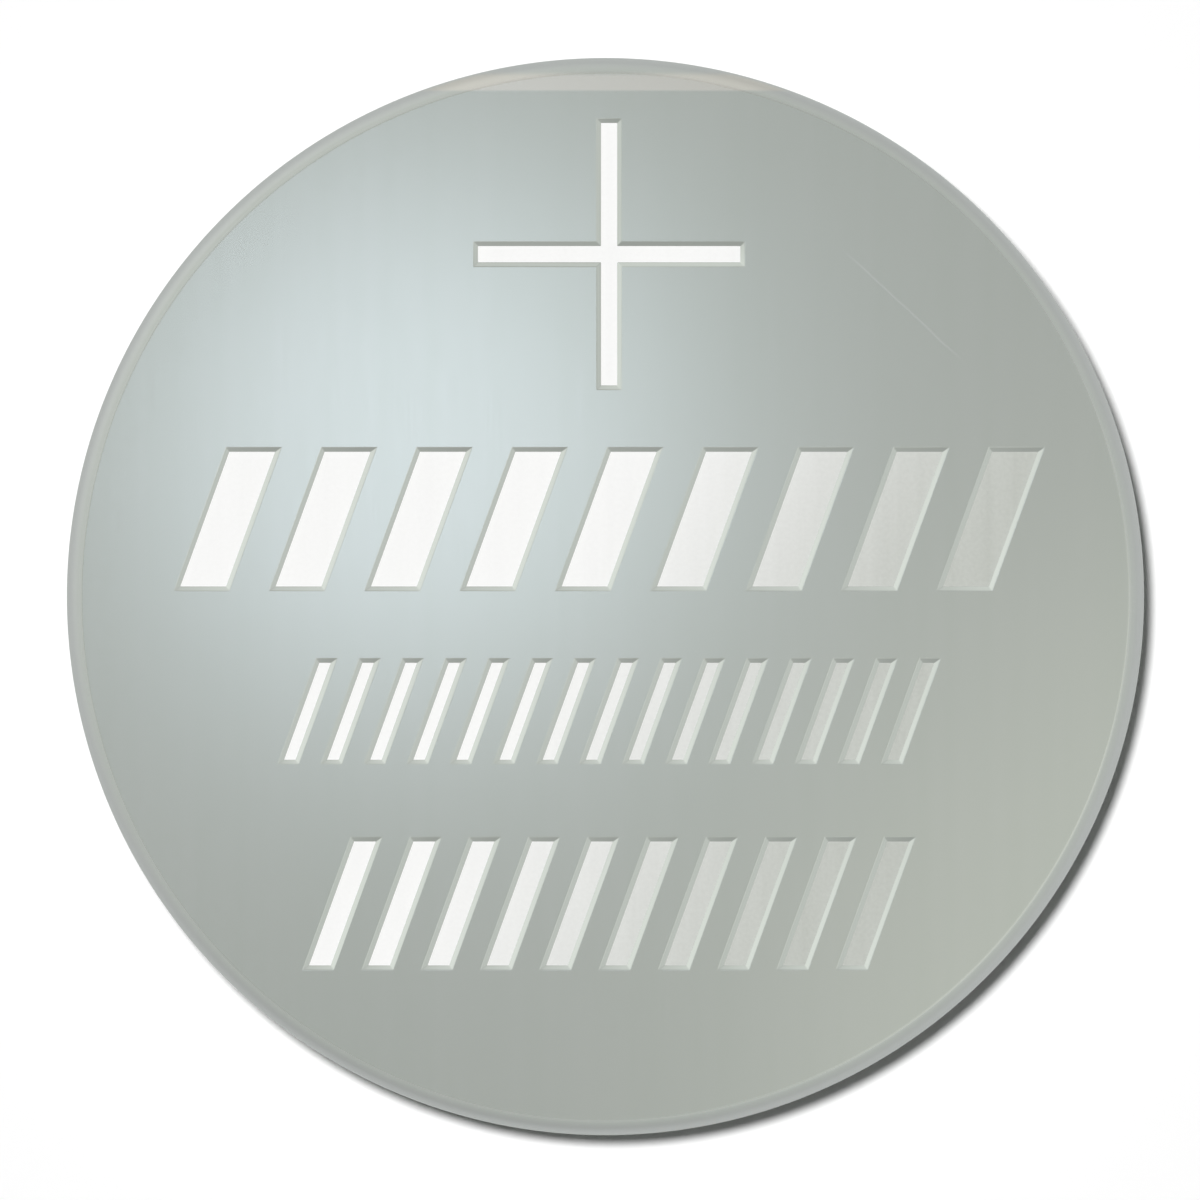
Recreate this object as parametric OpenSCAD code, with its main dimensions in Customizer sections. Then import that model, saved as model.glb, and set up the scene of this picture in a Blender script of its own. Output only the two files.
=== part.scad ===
// Lithium coin cell, lying on its negative contact with the positive face up.
// Millimetres. The origin is on the axis, in the plane of the negative contact.

/* [Cell] */
// Outside diameter of the cell
cell_dia = 20; // [16:0.1:24.5]
// Overall height, from contact face to contact face
cell_height = 3.2; // [2.9:0.1:5.4]

/* [Positive can] */
// Sheet thickness of the can
can_sheet = 0.25; // [0.15:0.01:0.3]
// Inside radius of the rounded edge round the positive face
can_corner_in_r = 0.05; // [0.02:0.01:0.3]
// Height of the curled rim's lowest point above the negative contact
curl_recess = 0.3; // [0.1:0.01:0.5]
// Flat length of the lip, past the end of the curl
lip_len = 0.3; // [0.1:0.01:0.5]

/* [Negative cap] */
// Sheet thickness of the cap
cap_sheet = 0.25; // [0.15:0.01:0.3]
// Inside radius of the rounded edge round the negative contact
cap_corner_in_r = 0.15; // [0.05:0.01:0.25]
// Inside radius of the bend from the riser out to the shoulder
shoulder_bend_r = 0.15; // [0.05:0.01:0.2]
// Inside radius of the bend from the shoulder up to the skirt
cap_edge_in_r = 0.05; // [0.02:0.01:0.2]
// Gap between the cap's riser and the edge of the can's lip
riser_gap = 0.55; // [0.3:0.01:0.8]

/* [Sealing gasket] */
// Wall of the gasket between the cap and the can
gasket_wall = 0.3; // [0.15:0.01:0.4]
// Thickness of the gasket between the cap's edge and the can's floor
gasket_base = 0.6; // [0.3:0.01:0.8]
// Wall of the short lip inside the cap's skirt
inner_lip_wall = 0.4; // [0.2:0.01:0.6]
// Length of the short lip inside the cap's skirt
inner_lip_len = 0.5; // [0.2:0.01:0.7]
// Width of the gasket that shows past the edge of the can's lip
gasket_show = 0.35; // [0.1:0.01:0.38]

/* [Lithium anode] */
// Thickness of the lithium disc
lithium_thick = 0.6; // [0.3:0.01:0.8]
// Gap between the lithium disc and the start of the cap's rounded edge
lithium_gap = 0.1; // [0.05:0.01:0.4]

/* [Separator] */
// Thickness of the separator
separator_sheet = 0.2; // [0.05:0.01:0.25]
// Height of the separator's turned-up edge
separator_turnup = 0.9; // [0.3:0.01:1.1]
// Gap between the separator and the inside of the cap's riser
separator_gap = 0.1; // [0.05:0.01:0.3]

/* [Cathode] */
// Sheet thickness of the cathode ring
ring_sheet = 0.15; // [0.1:0.01:0.25]
// Height of the cathode ring
ring_height = 1.2; // [0.5:0.01:1.6]
// Width of the ring's foot, which lies under the pellet
ring_foot = 1.1; // [0.5:0.01:2]
// Gap between the ring and the separator's turned-up edge
ring_gap = 0.05; // [0.02:0.01:0.2]

/* [Stamped marks] */
// Depth of the stamped marks
mark_depth = 0.06; // [0.03:0.01:0.1]
// Width of a mark's sloping side, seen from above
mark_side = 0.08; // [0.03:0.01:0.12]
// How far the stamp sits off the cell's axis, to the right
stamp_offset = 0.07; // [0:0.01:0.15]
// Length of the plus sign's bars
plus_len = 4.87; // [3:0.01:5.5]
// Width of the plus sign's bars
plus_bar = 0.3; // [0.15:0.01:0.6]
// Gap between the plus sign and the edge of the flat face
plus_margin = 0.91; // [0.4:0.01:1.2]
// Gap between the plus sign and the field of the slanted bars
field_gap = 0.7; // [0.5:0.01:1.2]
// Gap between the field of the slanted bars and the edge of the flat face
field_margin = 2.22; // [1.5:0.01:2.6]
// Lean of the slanted bars, in degrees from upright
bar_slant = 20; // [0:1:30]
// Height of a bar in each of the three rows, from the top
bar_heights = [2.5, 1.8, 2.3]; // [1:0.05:2.9]
// Width of a bar in each row
bar_widths = [0.8, 0.2, 0.38]; // [0.15:0.01:0.9]
// Distance between neighbouring bars in each row
bar_pitches = [1.77, 0.8, 1.1]; // [0.6:0.01:2]
// Gap between each row's ends and the edge of the flat face
row_margins = [1.3, 3.1, 1.25]; // [0.8:0.05:4]

/* [Hidden] */
$fn = 180;

// Radii, from the outside in
cell_r = cell_dia / 2;
can_in_r = cell_r - can_sheet;
skirt_out_r = can_in_r - gasket_wall;
skirt_in_r = skirt_out_r - cap_sheet;
curl_in_r = cap_edge_in_r + cap_sheet + gasket_wall;
curl_centre_r = can_in_r - curl_in_r;
lip_r = curl_centre_r - lip_len;
riser_r = lip_r - riser_gap;
riser_in_r = riser_r - cap_sheet;
contact_r = riser_in_r - cap_corner_in_r;
lithium_r = contact_r - lithium_gap;
separator_r = riser_in_r - separator_gap;
separator_in_r = separator_r - separator_sheet;
ring_r = separator_in_r - ring_gap;
pellet_r = ring_r - ring_sheet;
face_r = can_in_r - can_corner_in_r;

// Heights, from the negative contact up
lip_top_z = curl_recess + can_sheet;
shoulder_z = lip_top_z + gasket_wall;
curl_centre_z = lip_top_z + curl_in_r;
lithium_top_z = cap_sheet + lithium_thick;
separator_top_z = lithium_top_z + separator_sheet;
floor_z = cell_height - can_sheet;
skirt_top_z = floor_z - gasket_base;

// Places of the stamped marks on the face
plus_y = face_r - plus_margin - plus_len / 2;
field_top_y = plus_y - plus_len / 2 - field_gap;
field_low_y = field_margin - face_r;
row_pitch = (field_top_y - field_low_y) / len(bar_heights);
// How far the cutters reach past the face that they cut
cut_over = 0.02;

// Box of a profile, from its inner low corner to its outer high corner
module run(r0, z0, r1, z1) {
    translate([r0, z0]) square([r1 - r0, z1 - z0]);
}

// Quarter bend of a profile round a centre, counter-clockwise from an angle
module bend(centre_r, centre_z, in_r, sheet, from) {
    out_r = in_r + sheet;
    translate([centre_r, centre_z]) rotate(from) intersection() {
        difference() {
            circle(r = out_r);
            circle(r = in_r);
        }
        square(out_r);
    }
}

// Section of the can: face, rounded edge, wall, curl and lip
module can_section() {
    run(0, floor_z, face_r, cell_height);
    bend(face_r, floor_z - can_corner_in_r, can_corner_in_r, can_sheet, 0);
    run(can_in_r, curl_centre_z, cell_r, floor_z - can_corner_in_r);
    bend(curl_centre_r, curl_centre_z, curl_in_r, can_sheet, 270);
    run(lip_r, curl_recess, curl_centre_r, lip_top_z);
}

// Section of the cap: contact, rounded edge, riser, shoulder and skirt
module cap_section() {
    run(0, 0, contact_r, cap_sheet);
    bend(contact_r, cap_sheet + cap_corner_in_r, cap_corner_in_r, cap_sheet, 270);
    run(riser_in_r, cap_sheet + cap_corner_in_r, riser_r, shoulder_z - shoulder_bend_r);
    bend(riser_r + shoulder_bend_r, shoulder_z - shoulder_bend_r, shoulder_bend_r, cap_sheet, 90);
    run(riser_r + shoulder_bend_r, shoulder_z, curl_centre_r, shoulder_z + cap_sheet);
    bend(curl_centre_r, curl_centre_z, cap_edge_in_r, cap_sheet, 270);
    run(skirt_in_r, curl_centre_z, skirt_out_r, skirt_top_z);
}

// Section of the gasket, which follows the cap's edge from the shoulder round to the inner lip
module gasket_section() {
    end_r = gasket_wall / 2;
    show_r = lip_r - gasket_show + end_r;
    translate([show_r, shoulder_z - end_r]) circle(r = end_r);
    run(show_r, lip_top_z, curl_centre_r, shoulder_z);
    bend(curl_centre_r, curl_centre_z, cap_edge_in_r + cap_sheet, gasket_wall, 270);
    run(skirt_out_r, curl_centre_z, can_in_r, floor_z - can_corner_in_r);
    run(skirt_in_r - inner_lip_wall, skirt_top_z, can_in_r, floor_z - can_corner_in_r);
    run(skirt_in_r - inner_lip_wall, skirt_top_z, face_r, floor_z);
    bend(face_r, floor_z - can_corner_in_r, 0, can_corner_in_r, 0);
    run(skirt_in_r - inner_lip_wall, skirt_top_z - inner_lip_len, skirt_in_r, floor_z);
}

// Prism along X with two sloping sides, for a mark whose floor has this width
module mark_slopes(length, width) {
    top = width / 2 + mark_side * (1 + cut_over / mark_depth);
    rotate([90, 0, 90]) linear_extrude(height = length, center = true)
        polygon([[-width / 2, -mark_depth], [width / 2, -mark_depth], [top, cut_over], [-top, cut_over]]);
}

// One stamped bar, with sloping sides all round its floor, upright or leaning
module mark_bar(width, height, lean = 0) {
    reach = 2 * (width + height);
    intersection() {
        mark_slopes(reach, height);
        rotate(90 - lean) mark_slopes(reach, width);
    }
}

// Row of slanted bars, centred, as many as fit in a span
module bar_row(height, width, pitch, span) {
    footprint = width / cos(bar_slant) + height * tan(bar_slant);
    count = floor((span - footprint) / pitch) + 1;
    for (i = [0 : count - 1])
        translate([(i - (count - 1) / 2) * pitch, 0]) mark_bar(width, height, bar_slant);
}

// The plus sign and the rows of slanted bars, in the plane of the face
module face_marks() {
    translate([0, plus_y]) {
        mark_bar(plus_len, plus_bar);
        mark_bar(plus_bar, plus_len);
    }
    for (row = [0 : len(bar_heights) - 1]) {
        row_y = field_top_y - (row + 0.5) * row_pitch;
        far_y = abs(row_y) + bar_heights[row] / 2;
        half = sqrt(face_r * face_r - far_y * far_y) - row_margins[row];
        translate([0, row_y]) bar_row(bar_heights[row], bar_widths[row], bar_pitches[row], 2 * half);
    }
}

module positive_can() {
    color([0.74, 0.76, 0.75]) difference() {
        rotate_extrude() can_section();
        translate([stamp_offset, 0, cell_height]) face_marks();
    }
}

module negative_cap() {
    color([0.77, 0.77, 0.75]) rotate_extrude() cap_section();
}

module sealing_gasket() {
    color([0.2, 0.2, 0.21]) rotate_extrude() gasket_section();
}

module lithium_anode() {
    color([0.82, 0.83, 0.85]) translate([0, 0, cap_sheet]) cylinder(h = lithium_thick, r = lithium_r);
}

// Cup that lies on the lithium, with its edge turned up round the pellet
module separator() {
    color([0.93, 0.93, 0.9]) translate([0, 0, lithium_top_z]) difference() {
        cylinder(h = separator_sheet + separator_turnup, r = separator_r);
        translate([0, 0, separator_sheet]) cylinder(h = separator_turnup + cut_over, r = separator_in_r);
    }
}

// Tablet that fills the height up to the can's floor, with a rebate for the ring's foot
module cathode_pellet() {
    color([0.13, 0.13, 0.14]) rotate_extrude() {
        run(0, separator_top_z, pellet_r, floor_z - ring_sheet);
        run(0, separator_top_z, pellet_r - ring_foot, floor_z);
    }
}

// Ring of L section round the pellet, with its foot on the can's floor
module cathode_ring() {
    color([0.7, 0.71, 0.72]) rotate_extrude() {
        run(pellet_r, floor_z - ring_height, ring_r, floor_z);
        run(pellet_r - ring_foot, floor_z - ring_sheet, ring_r, floor_z);
    }
}

positive_can();
negative_cap();
sealing_gasket();
lithium_anode();
separator();
cathode_pellet();
cathode_ring();
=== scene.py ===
import math

import bmesh
import bpy
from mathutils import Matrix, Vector


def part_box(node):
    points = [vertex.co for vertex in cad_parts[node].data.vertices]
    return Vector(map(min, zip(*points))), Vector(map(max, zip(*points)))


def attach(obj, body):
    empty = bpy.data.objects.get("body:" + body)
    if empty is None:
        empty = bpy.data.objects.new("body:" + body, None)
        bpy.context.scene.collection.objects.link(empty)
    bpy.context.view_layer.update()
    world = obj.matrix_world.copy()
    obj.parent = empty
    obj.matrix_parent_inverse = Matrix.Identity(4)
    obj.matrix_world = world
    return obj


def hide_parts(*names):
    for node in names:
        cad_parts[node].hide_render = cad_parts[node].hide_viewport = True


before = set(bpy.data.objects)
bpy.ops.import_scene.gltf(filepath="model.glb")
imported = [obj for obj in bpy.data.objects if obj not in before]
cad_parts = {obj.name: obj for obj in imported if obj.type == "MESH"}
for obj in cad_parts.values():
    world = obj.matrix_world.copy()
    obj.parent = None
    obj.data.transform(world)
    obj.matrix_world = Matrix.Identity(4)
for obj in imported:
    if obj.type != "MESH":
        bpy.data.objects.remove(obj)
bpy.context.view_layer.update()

MM = 0.001
LOW, HIGH = 0, 1
X, Z = 0, 2
SIZE_DIGITS = 5


def corner(node, which, axis):
    """One coordinate of the low or the high corner of a node's box, to a hundredth of a millimetre."""
    return round(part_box(node)[which][axis], SIZE_DIGITS)


# Sizes that the frame gives
CELL_R = corner("positive_can", HIGH, X)
CELL_H = corner("positive_can", HIGH, Z)
CURL_RECESS = corner("positive_can", LOW, Z)
FLOOR_Z = corner("sealing_gasket", HIGH, Z)
LIP_TOP_Z = corner("sealing_gasket", LOW, Z)
SKIRT_OUT_R = corner("negative_cap", HIGH, X)
SKIRT_TOP_Z = corner("negative_cap", HIGH, Z)
CAP_SHEET = corner("lithium_anode", LOW, Z)

# Sizes that only the sections of the pieces have
CAN_CORNER_IN_R = 0.05 * MM
LIP_LEN = 0.30 * MM
CAP_CORNER_IN_R = 0.15 * MM
SHOULDER_BEND_R = 0.15 * MM
CAP_EDGE_IN_R = 0.05 * MM
RISER_GAP = 0.55 * MM
INNER_LIP_WALL = 0.40 * MM
INNER_LIP_LEN = 0.50 * MM
GASKET_SHOW = 0.35 * MM

# Sizes that follow from them
CAN_SHEET = CELL_H - FLOOR_Z
CAN_IN_R = CELL_R - CAN_SHEET
FACE_R = CAN_IN_R - CAN_CORNER_IN_R
CORNER_Z = FLOOR_Z - CAN_CORNER_IN_R
GASKET_WALL = CAN_IN_R - SKIRT_OUT_R
SKIRT_IN_R = SKIRT_OUT_R - CAP_SHEET
SHOULDER_Z = LIP_TOP_Z + GASKET_WALL
CURL_IN_R = CAP_EDGE_IN_R + CAP_SHEET + GASKET_WALL
CURL_R = CAN_IN_R - CURL_IN_R
CURL_Z = LIP_TOP_Z + CURL_IN_R
LIP_R = CURL_R - LIP_LEN
RISER_R = LIP_R - RISER_GAP
RISER_IN_R = RISER_R - CAP_SHEET
CONTACT_R = RISER_IN_R - CAP_CORNER_IN_R

# Stamped marks on the positive face
MARK_DEPTH = 0.06 * MM
MARK_SIDE = 0.08 * MM
STAMP_OFFSET = 0.07 * MM
PLUS_LEN = 4.87 * MM
PLUS_BAR = 0.30 * MM
PLUS_MARGIN = 0.91 * MM
FIELD_GAP = 0.70 * MM
FIELD_MARGIN = 2.22 * MM
BAR_SLANT = math.radians(20)
# Height, width, pitch and end margin of each row of bars, from the top
BAR_ROWS = [
    (2.50 * MM, 0.80 * MM, 1.77 * MM, 1.30 * MM),
    (1.80 * MM, 0.20 * MM, 0.80 * MM, 3.10 * MM),
    (2.30 * MM, 0.38 * MM, 1.10 * MM, 1.25 * MM),
]
CUT_OVER = 0.02 * MM
PLUS_Y = FACE_R - PLUS_MARGIN - PLUS_LEN / 2
FIELD_TOP_Y = PLUS_Y - PLUS_LEN / 2 - FIELD_GAP
ROW_PITCH = (FIELD_TOP_Y - (FIELD_MARGIN - FACE_R)) / len(BAR_ROWS)
MARK_FLOOR_Z = CELL_H - MARK_DEPTH
MARK_FLOOR_TOLERANCE = CUT_OVER / 10

# Fineness of the meshes
SEGMENTS = 384
BEND_STEPS = 12
EDGE_ROUND = 0.012 * MM
EDGE_SEGMENTS = 2
EDGE_ANGLE = math.radians(30)
FLAT_WEIGHT = 100

# The photograph's frame
PHOTO_PX = 1200
CELL_PX = (605.4, 596.5)
PX_PER_MM = 53.88
LENS_MM = 1200
SENSOR_MM = 36
CLIP_NEAR = 0.005
CLIP_FAR = 20


# Meshes

def bend(centre_r, centre_z, radius, start, end):
    """Points of an arc in a section, from one angle to another in degrees."""
    steps = range(BEND_STEPS + 1)
    angles = [math.radians(start + (end - start) * i / BEND_STEPS) for i in steps]
    return [(centre_r + radius * math.cos(a), centre_z + radius * math.sin(a)) for a in angles]


def new_object(name, mesh):
    """An object in the scene, from a finished bmesh."""
    bmesh.ops.recalc_face_normals(mesh, faces=mesh.faces)
    data = bpy.data.meshes.new(name)
    mesh.to_mesh(data)
    mesh.free()
    made = bpy.data.objects.new(name, data)
    bpy.context.scene.collection.objects.link(made)
    return made


def lathe(name, outline, closed):
    """Solid of revolution. A closed outline makes a ring, an open one ends in two flat discs."""
    mesh = bmesh.new()
    turns = [2 * math.pi * i / SEGMENTS for i in range(SEGMENTS)]
    rings = [[mesh.verts.new((r * math.cos(t), r * math.sin(t), z)) for t in turns] for r, z in outline]
    pairs = list(zip(rings, rings[1:]))
    if closed:
        pairs.append((rings[-1], rings[0]))
    else:
        mesh.faces.new(rings[0])
        mesh.faces.new(rings[-1])
    for first, second in pairs:
        for i in range(SEGMENTS):
            j = (i + 1) % SEGMENTS
            mesh.faces.new((first[i], first[j], second[j], second[i]))
    return new_object(name, mesh)


def finish_mesh(piece):
    """Smooth shading, with hard edges rounded and flat faces kept flat."""
    for face in piece.data.polygons:
        face.use_smooth = True
    edge = piece.modifiers.new("edge_rounding", "BEVEL")
    edge.width = EDGE_ROUND
    edge.segments = EDGE_SEGMENTS
    edge.limit_method = "ANGLE"
    edge.angle_limit = EDGE_ANGLE
    flat = piece.modifiers.new("flat_flats", "WEIGHTED_NORMAL")
    flat.mode = "FACE_AREA"
    flat.weight = FLAT_WEIGHT
    return piece


def loft(mesh, low, low_z, high, high_z):
    """Closed solid between two outlines of the same number of points."""
    lows = [mesh.verts.new((x, y, low_z)) for x, y in low]
    highs = [mesh.verts.new((x, y, high_z)) for x, y in high]
    mesh.faces.new(lows)
    mesh.faces.new(highs)
    for i in range(len(low)):
        j = (i + 1) % len(low)
        mesh.faces.new((lows[i], lows[j], highs[j], highs[i]))


def bar_outline(width, height, centre_x, centre_y):
    """The four corners of a slanted bar, whose width is measured square to its slant."""
    half_x = width / 2 / math.cos(BAR_SLANT)
    half_y = height / 2
    lean = math.tan(BAR_SLANT)
    corners = ((-1, -1), (1, -1), (1, 1), (-1, 1))
    return [(centre_x + x * half_x + y * half_y * lean, centre_y + y * half_y) for x, y in corners]


def plus_outline(arm, half, centre_x, centre_y):
    """The twelve corners of a plus sign."""
    corners = []
    for turn in range(4):
        c, s = round(math.cos(turn * math.pi / 2)), round(math.sin(turn * math.pi / 2))
        for x, y in ((arm, -half), (arm, half), (half, half)):
            corners.append((centre_x + x * c - y * s, centre_y + x * s + y * c))
    return corners


def mark_cutter():
    """The stamped marks as one mesh of separate tapered solids."""
    mesh = bmesh.new()
    high_z = CELL_H + CUT_OVER
    spread = MARK_SIDE * (MARK_DEPTH + CUT_OVER) / MARK_DEPTH
    low = plus_outline(PLUS_LEN / 2, PLUS_BAR / 2, STAMP_OFFSET, PLUS_Y)
    high = plus_outline(PLUS_LEN / 2 + spread, PLUS_BAR / 2 + spread, STAMP_OFFSET, PLUS_Y)
    loft(mesh, low, MARK_FLOOR_Z, high, high_z)
    for row, (height, width, pitch, margin) in enumerate(BAR_ROWS):
        row_y = FIELD_TOP_Y - (row + 0.5) * ROW_PITCH
        far_y = abs(row_y) + height / 2
        span = 2 * (math.sqrt(FACE_R ** 2 - far_y ** 2) - margin)
        footprint = width / math.cos(BAR_SLANT) + height * math.tan(BAR_SLANT)
        count = math.floor((span - footprint) / pitch) + 1
        for i in range(count):
            x = STAMP_OFFSET + (i - (count - 1) / 2) * pitch
            low = bar_outline(width, height, x, row_y)
            high = bar_outline(width + 2 * spread, height + 2 * spread, x, row_y)
            loft(mesh, low, MARK_FLOOR_Z, high, high_z)
    return new_object("mark_cutter", mesh)


def can_shell():
    """The positive can: face, rounded edge, wall, curl and lip, with the marks stamped in."""
    outline = bend(FACE_R, CORNER_Z, CAN_CORNER_IN_R + CAN_SHEET, 90, 0)
    outline += bend(CURL_R, CURL_Z, CURL_IN_R + CAN_SHEET, 0, -90)
    outline += [(LIP_R, CURL_RECESS), (LIP_R, LIP_TOP_Z)]
    outline += bend(CURL_R, CURL_Z, CURL_IN_R, -90, 0)
    outline += bend(FACE_R, CORNER_Z, CAN_CORNER_IN_R, 0, 90)
    shell = lathe("can_shell", outline, closed=False)
    cutter = mark_cutter()
    cut = shell.modifiers.new("stamping", "BOOLEAN")
    cut.operation = "DIFFERENCE"
    cut.solver = "EXACT"
    cut.object = cutter
    graph = bpy.context.evaluated_depsgraph_get()
    stamped = bpy.data.meshes.new_from_object(shell.evaluated_get(graph))
    shell.modifiers.clear()
    shell.data = stamped
    bpy.data.objects.remove(cutter)
    return finish_mesh(shell)


def cap_shell():
    """The negative cap: contact, riser, shoulder and skirt."""
    corner_z = CAP_SHEET + CAP_CORNER_IN_R
    bend_r = RISER_R + SHOULDER_BEND_R
    bend_z = SHOULDER_Z - SHOULDER_BEND_R
    outline = bend(CONTACT_R, corner_z, corner_z, -90, 0)
    outline += bend(bend_r, bend_z, SHOULDER_BEND_R, 180, 90)
    outline += bend(CURL_R, CURL_Z, CAP_EDGE_IN_R + CAP_SHEET, -90, 0)
    outline += [(SKIRT_OUT_R, SKIRT_TOP_Z), (SKIRT_IN_R, SKIRT_TOP_Z)]
    outline += bend(CURL_R, CURL_Z, CAP_EDGE_IN_R, 0, -90)
    outline += bend(bend_r, bend_z, SHOULDER_BEND_R + CAP_SHEET, 90, 180)
    outline += bend(CONTACT_R, corner_z, CAP_CORNER_IN_R, 0, -90)
    return finish_mesh(lathe("cap_shell", outline, closed=False))


def gasket_ring():
    """The gasket, which follows the cap's edge from the shoulder round to the inner lip."""
    show_r = LIP_R - GASKET_SHOW + GASKET_WALL / 2
    lip_in_r = SKIRT_IN_R - INNER_LIP_WALL
    outline = bend(show_r, SHOULDER_Z - GASKET_WALL / 2, GASKET_WALL / 2, 90, 270)
    outline += bend(CURL_R, CURL_Z, CURL_IN_R, -90, 0)
    outline += bend(FACE_R, CORNER_Z, CAN_CORNER_IN_R, 0, 90)
    outline += [(lip_in_r, FLOOR_Z), (lip_in_r, SKIRT_TOP_Z - INNER_LIP_LEN)]
    outline += [(SKIRT_IN_R, SKIRT_TOP_Z - INNER_LIP_LEN), (SKIRT_IN_R, SKIRT_TOP_Z)]
    outline += [(SKIRT_OUT_R, SKIRT_TOP_Z)]
    outline += bend(CURL_R, CURL_Z, CAP_EDGE_IN_R + CAP_SHEET, 0, -90)
    return finish_mesh(lathe("gasket_ring", outline, closed=True))


# Nodes that the materials and the room share

# The span that nearly all of a noise lies in
NOISE_LOW = 0.3
NOISE_HIGH = 0.7
# The inputs of a Mix node that take the mask and the two values, and its output, by what it mixes
MIX_SOCKETS = {"FLOAT": ((0, 2, 3), 0), "RGBA": ((0, 6, 7), 2)}


def shader(name):
    """A new material and its principled shader."""
    made = bpy.data.materials.new(name)
    made.use_nodes = True
    return made, made.node_tree.nodes["Principled BSDF"]


def node(tree, kind, **values):
    """A new node, with its properties or its inputs set by name."""
    made = tree.nodes.new(kind)
    for key, value in values.items():
        if hasattr(made, key):
            setattr(made, key, value)
        else:
            made.inputs[key.replace("_", " ")].default_value = value
    return made


def feed(tree, value, socket):
    """Gives a socket a number, a colour or what another socket gives out."""
    if isinstance(value, (int, float)):
        socket.default_value = value
    elif isinstance(value, tuple):
        socket.default_value = (*value, 1)
    else:
        tree.links.new(value, socket)


def scaled(tree, vector, scale):
    """A vector times a scale along each axis."""
    made = node(tree, "ShaderNodeVectorMath", operation="MULTIPLY")
    made.inputs[1].default_value = scale
    tree.links.new(vector, made.inputs[0])
    return made.outputs["Vector"]


def toward(tree, vector, direction):
    """How far a vector reaches along a direction."""
    made = node(tree, "ShaderNodeVectorMath", operation="DOT_PRODUCT")
    made.inputs[1].default_value = direction
    tree.links.new(vector, made.inputs[0])
    return made.outputs["Value"]


def place_on_object(tree):
    """The point on the object, in metres from its origin."""
    return node(tree, "ShaderNodeTexCoord").outputs["Object"]


def noise(tree, scale, detail, stretch):
    """Noise in the object's own metres, stretched along its axes."""
    made = node(tree, "ShaderNodeTexNoise", Scale=1.0, Detail=detail)
    place = scaled(tree, place_on_object(tree), [scale * s for s in stretch])
    tree.links.new(place, made.inputs["Vector"])
    return made.outputs["Fac"]


def axis_distance(tree):
    """Distance from the cell's axis."""
    made = node(tree, "ShaderNodeVectorMath", operation="LENGTH")
    tree.links.new(scaled(tree, place_on_object(tree), (1, 1, 0)), made.inputs[0])
    return made.outputs["Value"]


def along(tree, direction):
    """Distance from the object's origin along a direction."""
    return toward(tree, place_on_object(tree), direction)


def joined(tree, operation, *values):
    """A Math node over sockets and numbers."""
    made = node(tree, "ShaderNodeMath", operation=operation)
    for socket, value in zip(made.inputs, values):
        feed(tree, value, socket)
    return made.outputs[0]


def ranged(tree, value, low, high):
    """A noise mapped to the span that a socket needs."""
    made = node(tree, "ShaderNodeMapRange", From_Min=NOISE_LOW, From_Max=NOISE_HIGH, To_Min=low, To_Max=high)
    tree.links.new(value, made.inputs["Value"])
    return made.outputs["Result"]


def stepped(tree, value, start, stop):
    """0 before the start and 1 past the stop, with a smooth step between them."""
    made = node(tree, "ShaderNodeMapRange", interpolation_type="SMOOTHSTEP", From_Min=start, From_Max=stop)
    tree.links.new(value, made.inputs["Value"])
    return made.outputs["Result"]


def mottled(tree, first, first_share, second):
    """Two noises added up, with a share of the span from 0 to 1 for the first and the rest for the other."""
    first_part = ranged(tree, first, 0, first_share)
    second_part = ranged(tree, second, 0, 1 - first_share)
    return joined(tree, "ADD", first_part, second_part)


def mixed(tree, kind, mask, first, second):
    """A Mix node over sockets and values of one kind."""
    made = node(tree, "ShaderNodeMix", data_type=kind)
    places, result = MIX_SOCKETS[kind]
    for place, value in zip(places, (mask, first, second)):
        feed(tree, value, made.inputs[place])
    return made.outputs[result]


def blended(tree, mask, first, second):
    """Two numbers or sockets of numbers, mixed by a mask."""
    return mixed(tree, "FLOAT", mask, first, second)


def tinted(tree, mask, first, second):
    """Two colours or sockets of colours, mixed by a mask."""
    return mixed(tree, "RGBA", mask, first, second)


def bumped(tree, height, distance, normal=None):
    """A bump whose full height is the distance, over another bump where one is given."""
    made = node(tree, "ShaderNodeBump", Distance=distance, Strength=1.0)
    tree.links.new(height, made.inputs["Height"])
    if normal is not None:
        tree.links.new(normal, made.inputs["Normal"])
    return made.outputs["Normal"]


# Materials

# Textures: scale for each metre, detail, and the share of that scale along each axis
EVEN = (1, 1, 1)
CAN_CLOUDS = (160, 3, EVEN)
CAP_CLOUDS = (260, 3, EVEN)
ROLLED_STREAKS = (3200, 3, (1, 0.015, 1))
FACE_GRAIN = (24000, 2, (1, 0.04, 1))
PEEL = (3600, 2, EVEN)
DRAWN_LINES = (7000, 3, (1, 1, 0.03))
NICKS = (9000, 3, EVEN)
SCRATCH_WANDER = (1200, 2, EVEN)
FROST = (14000, 3, EVEN)
SMEARS = (900, 4, (1, 0.2, 1))
MOULDED_DETAIL = 3
PRESS_RING_SCALE = 5000.0
PRESS_RING_DETAIL = 3.0

# Heights of the finest relief
FACE_PEEL_HEIGHT = 0.00004 * MM
DRAWN_HEIGHT = 0.0003 * MM
CAP_PEEL_HEIGHT = 0.0002 * MM
PRESS_RING_HEIGHT = 0.0004 * MM
FROST_HEIGHT = 0.0001 * MM
MOULDED_HEIGHT = 0.003 * MM
SMEAR_HEIGHT = 0.002 * MM

# Tones of the plating, light and dark where there are two
CAN_TONES = ((0.604, 0.640, 0.598), (0.578, 0.620, 0.570))
CAP_TONES = ((0.60, 0.62, 0.59), (0.56, 0.58, 0.55))
# Painted shade: a darker tone that the rounded edge of the can takes on
RIM_SHADE_TONE = (0.505, 0.526, 0.513)
PLATING_SPECULAR = (0.75, 0.77, 0.75, 1)
# How much of the mottling the clouds make, beside the streaks
CLOUD_SHARE = 0.6

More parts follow.
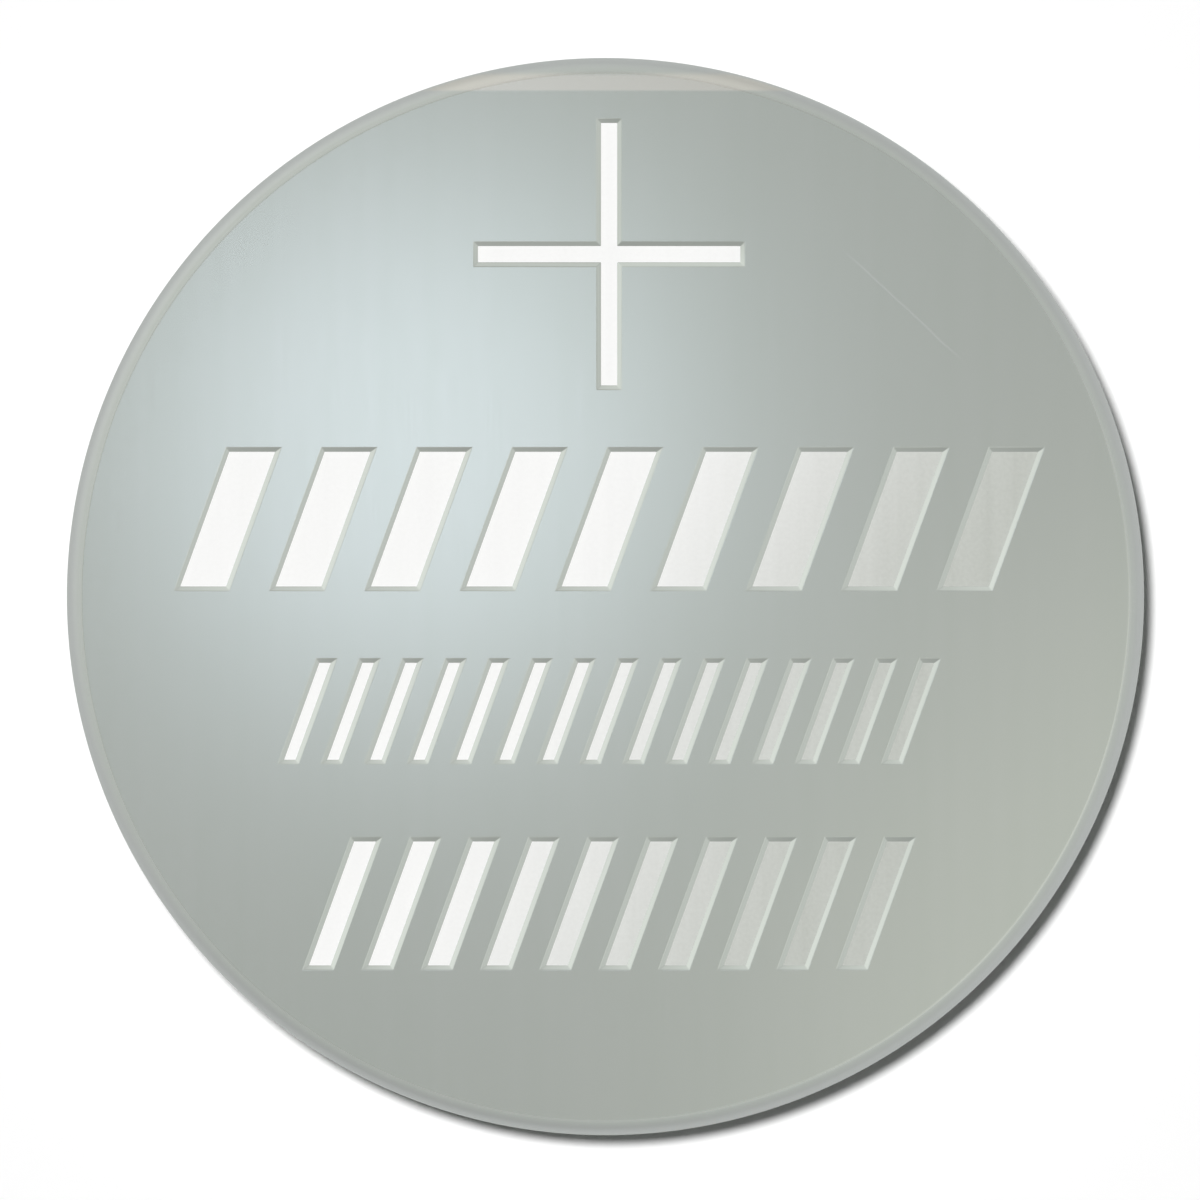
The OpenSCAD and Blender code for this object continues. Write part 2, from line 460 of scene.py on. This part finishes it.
# Roughness of the plating, the least and the most of each place
FACE_ROUGH = (0.157, 0.163)
RIM_ROUGH = (0.49, 0.52)
WALL_ROUGH = (0.27, 0.35)
CAP_ROUGH = (0.24, 0.32)

# Over what width the can's finish changes past the face and above the wall
RIM_FEATHER = 0.09 * MM
WALL_FEATHER = 0.10 * MM
# The painted shade on the rounded edge is whole this far inside the outline
RIM_SHADE_MARGIN = 0.05 * MM

# Nicks on the rim, where their noise rises past these values
NICK_START = 0.6
NICK_END = 0.7
NICK_TONE = (0.70, 0.72, 0.70)
NICK_SHARE = 0.2

# A painted reflection, a pale band across the top of the positive face, and a scratch worn into the face
PAINTED_REFLECTION_TONE = (0.76, 0.755, 0.69)
PAINTED_REFLECTION_RIM_TONE = (0.57, 0.565, 0.52)
PAINTED_REFLECTION_LOW_Y = 9.39 * MM
PAINTED_REFLECTION_LOW_FEATHER = 0.03 * MM
PAINTED_REFLECTION_HIGH_Y = 9.70 * MM
PAINTED_REFLECTION_HIGH_FEATHER = 0.06 * MM
# The painted reflection starts and is whole at these heights above the centre of the rounded edge
PAINTED_REFLECTION_START_RISE = 0.05 * MM
PAINTED_REFLECTION_WHOLE_RISE = 0.20 * MM
SCRATCH_START = (4.31 * MM, 6.53 * MM, 0)
SCRATCH_END = (6.79 * MM, 4.23 * MM, 0)
SCRATCH_HALF = 0.03 * MM
SCRATCH_TONE = (0.74, 0.76, 0.74)
SCRATCH_SHARE = 0.3

# The frosting of the marks, which fades to a darker copy of itself along a line across the face as painted
# shade
FROSTED_TONES = ((0.98, 0.98, 0.97), (0.94, 0.94, 0.93))
SHADED_FLOOR_TONES = ((0.57, 0.59, 0.55), (0.50, 0.52, 0.48))
FROST_SHARE = 0.5
FROST_ROUGH = (0.48, 0.53)
FROST_METALLIC = 0.1
FLOOR_SHADE_WAY = (0.907, -0.421, 0)
FLOOR_SHADE_START = -1.5 * MM
FLOOR_SHADE_END = 6.5 * MM

# How far roughness goes up and down from its middle
MOULDED_ROUGH_SPREAD = 0.06
SMEAR_ROUGH_SPREAD = 0.08


def line_mask(tree, start, end, half_width):
    """1 along an irregular line between two points of the face, fading out at its ends."""
    ahead = (Vector(end) - Vector(start)).normalized()
    side = Vector((-ahead.y, ahead.x, 0))
    middle = (Vector(start) + Vector(end)) / 2
    half_length = (Vector(end) - Vector(start)).length / 2
    wander = ranged(tree, noise(tree, *SCRATCH_WANDER), -half_width / 3, half_width / 3)
    off_side = joined(tree, "SUBTRACT", along(tree, side), middle.dot(side))
    off_line = joined(tree, "ABSOLUTE", joined(tree, "ADD", off_side, wander))
    off_middle = joined(tree, "ABSOLUTE", joined(tree, "SUBTRACT", along(tree, ahead), middle.dot(ahead)))
    near = stepped(tree, off_line, half_width, half_width / 4)
    within = stepped(tree, off_middle, half_length, half_length / 2)
    return joined(tree, "MULTIPLY", near, within)


def painted_reflection_mask(tree, height):
    """1 on the painted reflection, a pale band across the top of the face, which ends on the rounded edge.
    """
    across = along(tree, (0, 1, 0))
    above_low = stepped(tree, across, PAINTED_REFLECTION_LOW_Y - PAINTED_REFLECTION_LOW_FEATHER,
                        PAINTED_REFLECTION_LOW_Y + PAINTED_REFLECTION_LOW_FEATHER)
    below_high = stepped(tree, across, PAINTED_REFLECTION_HIGH_Y + PAINTED_REFLECTION_HIGH_FEATHER,
                         PAINTED_REFLECTION_HIGH_Y - PAINTED_REFLECTION_HIGH_FEATHER)
    on_top = stepped(tree, height, CORNER_Z + PAINTED_REFLECTION_START_RISE, CORNER_Z + PAINTED_REFLECTION_WHOLE_RISE)
    return joined(tree, "MULTIPLY", joined(tree, "MULTIPLY", above_low, below_high), on_top)


def can_tone(tree, past_face, height, nicks):
    """Tone of the can's plating: mottled, with a scratch and nicks on the rim, painted shade on the rounded
    edge and a painted reflection as a pale band across the top.
    """
    mottle = mottled(tree, noise(tree, *CAN_CLOUDS), CLOUD_SHARE, noise(tree, *ROLLED_STREAKS))
    tone = tinted(tree, mottle, *CAN_TONES)
    scratch = line_mask(tree, SCRATCH_START, SCRATCH_END, SCRATCH_HALF)
    tone = tinted(tree, joined(tree, "MULTIPLY", scratch, SCRATCH_SHARE), tone, SCRATCH_TONE)
    nicked = joined(tree, "MULTIPLY", past_face, stepped(tree, nicks, NICK_START, NICK_END))
    tone = tinted(tree, joined(tree, "MULTIPLY", nicked, NICK_SHARE), tone, NICK_TONE)
    # Painted shade: the rounded edge darkens from the face out to the outline
    on_shaded_rim = stepped(tree, axis_distance(tree), FACE_R, CELL_R - RIM_SHADE_MARGIN)
    tone = tinted(tree, on_shaded_rim, tone, RIM_SHADE_TONE)
    # Painted reflection: a pale band across the top of the face, darker where the painted shade of the
    # rounded edge falls
    reflection_tone = tinted(tree, on_shaded_rim, PAINTED_REFLECTION_TONE, PAINTED_REFLECTION_RIM_TONE)
    return tinted(tree, painted_reflection_mask(tree, height), tone, reflection_tone)


def can_plating():
    """Satin nickel plating: smooth on the face, duller round the rim, with drawn lines down the wall."""
    made, bsdf = shader("can_plating")
    tree = made.node_tree
    height = along(tree, (0, 0, 1))
    nicks = noise(tree, *NICKS)
    drawn = noise(tree, *DRAWN_LINES)
    past_face = stepped(tree, axis_distance(tree), FACE_R, FACE_R + RIM_FEATHER)
    on_wall = stepped(tree, height, CORNER_Z + WALL_FEATHER, CORNER_Z)
    tree.links.new(can_tone(tree, past_face, height, nicks), bsdf.inputs["Base Color"])

    face_rough = ranged(tree, noise(tree, *FACE_GRAIN), *FACE_ROUGH)
    rim_rough = ranged(tree, nicks, *RIM_ROUGH)
    wall_rough = ranged(tree, drawn, *WALL_ROUGH)
    outer_rough = blended(tree, on_wall, rim_rough, wall_rough)
    tree.links.new(blended(tree, past_face, face_rough, outer_rough), bsdf.inputs["Roughness"])

    normal = bumped(tree, noise(tree, *PEEL), FACE_PEEL_HEIGHT)
    normal = bumped(tree, joined(tree, "MULTIPLY", drawn, on_wall), DRAWN_HEIGHT, normal)
    tree.links.new(normal, bsdf.inputs["Normal"])
    bsdf.inputs["Metallic"].default_value = 1.0
    bsdf.inputs["Specular Tint"].default_value = PLATING_SPECULAR
    return made


def cap_plating():
    """Satin nickel plating on the pressed cap, with faint rings left by the press."""
    made, bsdf = shader("cap_plating")
    tree = made.node_tree
    clouds = ranged(tree, noise(tree, *CAP_CLOUDS), 0, 1)
    rings = node(tree, "ShaderNodeTexNoise", noise_dimensions="1D", Scale=PRESS_RING_SCALE,
                 Detail=PRESS_RING_DETAIL)
    tree.links.new(axis_distance(tree), rings.inputs["W"])
    pressed = rings.outputs["Fac"]
    tree.links.new(tinted(tree, clouds, *CAP_TONES), bsdf.inputs["Base Color"])
    tree.links.new(ranged(tree, pressed, *CAP_ROUGH), bsdf.inputs["Roughness"])
    normal = bumped(tree, noise(tree, *PEEL), CAP_PEEL_HEIGHT)
    tree.links.new(bumped(tree, pressed, PRESS_RING_HEIGHT, normal), bsdf.inputs["Normal"])
    bsdf.inputs["Metallic"].default_value = 1.0
    bsdf.inputs["Specular Tint"].default_value = PLATING_SPECULAR
    return made


def struck_metal():
    """The frosted floor of a stamped mark, which fades to a darker copy across the face as painted shade."""
    made, bsdf = shader("struck_metal")
    tree = made.node_tree
    frost = noise(tree, *FROST)
    mottle = mottled(tree, frost, FROST_SHARE, noise(tree, *ROLLED_STREAKS))
    frosted = tinted(tree, mottle, *FROSTED_TONES)
    shaded = tinted(tree, mottle, *SHADED_FLOOR_TONES)
    # Painted shade: the floors darken along a line across the face, away from the upper left
    floor_shade = stepped(tree, along(tree, FLOOR_SHADE_WAY), FLOOR_SHADE_START, FLOOR_SHADE_END)
    tree.links.new(tinted(tree, floor_shade, frosted, shaded), bsdf.inputs["Base Color"])
    tree.links.new(ranged(tree, frost, *FROST_ROUGH), bsdf.inputs["Roughness"])
    tree.links.new(bumped(tree, frost, FROST_HEIGHT), bsdf.inputs["Normal"])
    bsdf.inputs["Metallic"].default_value = FROST_METALLIC
    return made


def grained(name, tones, rough, spread, texture, relief):
    """A material whose tone, roughness and relief follow one texture, and its shader."""
    made, bsdf = shader(name)
    tree = made.node_tree
    grain = noise(tree, *texture)
    tree.links.new(tinted(tree, ranged(tree, grain, 0, 1), *tones), bsdf.inputs["Base Color"])
    tree.links.new(ranged(tree, grain, rough - spread, rough + spread), bsdf.inputs["Roughness"])
    tree.links.new(bumped(tree, grain, relief), bsdf.inputs["Normal"])
    return made, bsdf


def moulded(name, light, dark, rough, scale):
    """A moulded, pressed or unwoven surface with a fine even grain."""
    texture = (scale, MOULDED_DETAIL, EVEN)
    return grained(name, (light, dark), rough, MOULDED_ROUGH_SPREAD, texture, MOULDED_HEIGHT)[0]


def soft_metal(name, light, dark, rough):
    """A dull metal with smears along its length."""
    made, bsdf = grained(name, (light, dark), rough, SMEAR_ROUGH_SPREAD, SMEARS, SMEAR_HEIGHT)
    bsdf.inputs["Metallic"].default_value = 1.0
    return made


# The object's pieces

def dress(piece, body, node_name, slot, *materials):
    """Puts a piece in place of its node, with its materials."""
    for material in materials:
        piece.data.materials.append(material)
    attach(piece, body)
    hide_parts(node_name)


def frost_marks(piece):
    """Gives the floors of the marks the second material."""
    for face in piece.data.polygons:
        at_floor = abs(face.center.z - MARK_FLOOR_Z) < MARK_FLOOR_TOLERANCE
        face.material_index = int(at_floor and face.center.xy.length < FACE_R)


can = can_shell()
dress(can, "root", "positive_can", "can_steel", can_plating(), struck_metal())
frost_marks(can)
dress(cap_shell(), "root", "negative_cap", "cap_steel", cap_plating())

# Looks below: light tone, dark tone, roughness and, on what isn't metal, the scale of the grain
gasket_black = moulded("gasket_black", (0.035, 0.035, 0.038), (0.05, 0.05, 0.052), 0.42, 3000)
dress(gasket_ring(), "root", "sealing_gasket", "gasket_plastic", gasket_black)
INNER_LOOKS = {
    "lithium_anode": soft_metal("lithium_metal", (0.80, 0.81, 0.83), (0.66, 0.67, 0.70), 0.45),
    "separator": moulded("unwoven_cloth", (0.90, 0.90, 0.87), (0.80, 0.80, 0.76), 0.85, 6000),
    "cathode_pellet": moulded("pressed_powder", (0.03, 0.03, 0.033), (0.06, 0.06, 0.065), 0.9, 5000),
    "cathode_ring": soft_metal("plain_steel", (0.62, 0.63, 0.64), (0.55, 0.56, 0.57), 0.35),
}
for name, look in INNER_LOOKS.items():
    node_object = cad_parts[name]
    node_object.data.materials.clear()
    node_object.data.materials.append(look)


# The stage

# From the middle of the floor to each of its sides, in metres
FLOOR_REACH = 3.0
FLOOR_TONE = (0.98, 0.98, 0.98, 1)
FLOOR_ROUGH = 0.9

# The room's plain level, and what is added to it along two opposite sides and low down
ROOM_LEVEL = 0.56
ROOM_PANEL_WAY = (-0.866, 0.5, 0)
ROOM_PANEL_RISE = 0.34
ROOM_LOW_RISE = 0.2
# A band round the room adds to its level on one side and takes from it on the other
ROOM_SIDE_WAY = (-0.5, 0.866, 0)
ROOM_SIDE_RISE = 0.2
SIDE_MIDDLE_Z = 0.55
SIDE_HALF_Z = 0.35
# Straight above, where the flat face mirrors the room, it has one level
ROOM_ABOVE = 0.56
ABOVE_START = math.cos(math.radians(8))
ABOVE_END = math.cos(math.radians(3))
# Level of the room for diffuse light
ROOM_FILL = 0.02

# Lamps: where each one stands, how wide it is, its level and its tint
KEY_PLACE = (-49 * MM, 55 * MM, 880 * MM)
KEY_SIZE = 66 * MM
KEY_LEVEL = 0.99
KEY_TINT = (1, 1, 1)
COOL_GLOW_PLACE = (-4.1 * MM, 3.5 * MM, 103 * MM)
COOL_GLOW_SIZE = 10.7 * MM
COOL_GLOW_LEVEL = 1.10
COOL_GLOW_TINT = (0.909, 1.0, 1.182)
SIDE_GLOW_PLACE = (17.1 * MM, -11.3 * MM, 103 * MM)
SIDE_GLOW_SIZE = 27 * MM
SIDE_GLOW_LEVEL = 0.24
SIDE_GLOW_TINT = (1.045, 1.0, 0.864)


def white_floor():
    """A plain white sheet under the object."""
    mesh = bmesh.new()
    bmesh.ops.create_grid(mesh, x_segments=1, y_segments=1, size=FLOOR_REACH)
    floor = new_object("floor_sheet", mesh)
    made, bsdf = shader("floor_white")
    bsdf.inputs["Base Color"].default_value = FLOOR_TONE
    bsdf.inputs["Roughness"].default_value = FLOOR_ROUGH
    bsdf.inputs["Specular IOR Level"].default_value = 0.0
    floor.data.materials.append(made)


def room_level(tree):
    """Level of the room in each direction."""
    way = node(tree, "ShaderNodeTexCoord").outputs["Generated"]
    levelled = node(tree, "ShaderNodeVectorMath", operation="NORMALIZE")
    tree.links.new(scaled(tree, way, (1, 1, 0)), levelled.inputs[0])
    level_way = levelled.outputs["Vector"]
    up = toward(tree, way, (0, 0, 1))
    panel = toward(tree, level_way, ROOM_PANEL_WAY)
    panel_rise = joined(tree, "MULTIPLY", joined(tree, "MULTIPLY", panel, panel), ROOM_PANEL_RISE)
    low_rise = joined(tree, "MULTIPLY", joined(tree, "SUBTRACT", 1.0, up), ROOM_LOW_RISE)
    off_band = joined(tree, "ABSOLUTE", joined(tree, "SUBTRACT", up, SIDE_MIDDLE_Z))
    in_band = stepped(tree, off_band, SIDE_HALF_Z, SIDE_HALF_Z / 2)
    side = joined(tree, "MULTIPLY", toward(tree, level_way, ROOM_SIDE_WAY), in_band)
    side_rise = joined(tree, "MULTIPLY", side, ROOM_SIDE_RISE)
    around = joined(tree, "ADD", joined(tree, "ADD", low_rise, panel_rise), ROOM_LEVEL)
    around = joined(tree, "ADD", around, side_rise)
    return blended(tree, stepped(tree, up, ABOVE_START, ABOVE_END), around, ROOM_ABOVE)


def room():
    """A pale room, which metal mirrors and the camera sees, with a dimmer fill for diffuse light."""
    world = bpy.data.worlds.new("room")
    bpy.context.scene.world = world
    world.use_nodes = True
    tree = world.node_tree
    tree.nodes.clear()
    seen = node(tree, "ShaderNodeBackground", Strength=1.0)
    tree.links.new(room_level(tree), seen.inputs["Color"])
    fill = node(tree, "ShaderNodeBackground", Color=(ROOM_FILL, ROOM_FILL, ROOM_FILL, 1), Strength=1.0)
    path = node(tree, "ShaderNodeLightPath")
    rays = [path.outputs[name] for name in ("Is Camera Ray", "Is Glossy Ray", "Is Transmission Ray")]
    straight = joined(tree, "MAXIMUM", joined(tree, "MAXIMUM", rays[0], rays[1]), rays[2])
    mix = node(tree, "ShaderNodeMixShader")
    tree.links.new(straight, mix.inputs[0])
    tree.links.new(fill.outputs[0], mix.inputs[1])
    tree.links.new(seen.outputs[0], mix.inputs[2])
    out = node(tree, "ShaderNodeOutputWorld")
    tree.links.new(mix.outputs[0], out.inputs["Surface"])


def lamp(name, place, size, power, tint, lights):
    """A round soft lamp that faces the cell, for diffuse or for mirrored light."""
    data = bpy.data.lights.new(name, "AREA")
    data.shape = "DISK"
    data.size = size
    data.energy = power
    data.color = tint
    made = bpy.data.objects.new(name, data)
    made.location = place
    made.rotation_mode = "QUATERNION"
    made.rotation_quaternion = (-Vector(place)).to_track_quat("-Z", "Y")
    made.visible_camera = False
    made.visible_glossy = lights == "glossy"
    made.visible_diffuse = lights == "diffuse"
    bpy.context.scene.collection.objects.link(made)


def sheet_power(level, place):
    """Power of a lamp at a place that gives a white sheet at the origin this level."""
    return level * math.pi ** 2 * Vector(place).length_squared


def disc_power(level, size):
    """Power of a round lamp whose own disc has this level."""
    return level * math.pi ** 2 * (size / 2) ** 2


def camera():
    """Straight above the face, framed as in the photograph."""
    data = bpy.data.cameras.new("photo_camera")
    data.lens = LENS_MM
    data.sensor_width = SENSOR_MM
    data.clip_start = CLIP_NEAR
    data.clip_end = CLIP_FAR
    made = bpy.data.objects.new("photo_camera", data)
    width = PHOTO_PX / PX_PER_MM * MM
    off_x = (PHOTO_PX / 2 - CELL_PX[0]) / PX_PER_MM * MM
    off_y = (CELL_PX[1] - PHOTO_PX / 2) / PX_PER_MM * MM
    made.location = (off_x, off_y, CELL_H + width * LENS_MM / SENSOR_MM)
    bpy.context.scene.collection.objects.link(made)
    bpy.context.scene.camera = made


white_floor()
room()
camera()
lamp("key", KEY_PLACE, KEY_SIZE, sheet_power(KEY_LEVEL, KEY_PLACE), KEY_TINT, "diffuse")
lamp("cool_glow", COOL_GLOW_PLACE, COOL_GLOW_SIZE, disc_power(COOL_GLOW_LEVEL, COOL_GLOW_SIZE),
     COOL_GLOW_TINT, "glossy")
lamp("side_glow", SIDE_GLOW_PLACE, SIDE_GLOW_SIZE, disc_power(SIDE_GLOW_LEVEL, SIDE_GLOW_SIZE),
     SIDE_GLOW_TINT, "glossy")
bpy.context.scene.view_settings.view_transform = "Standard"
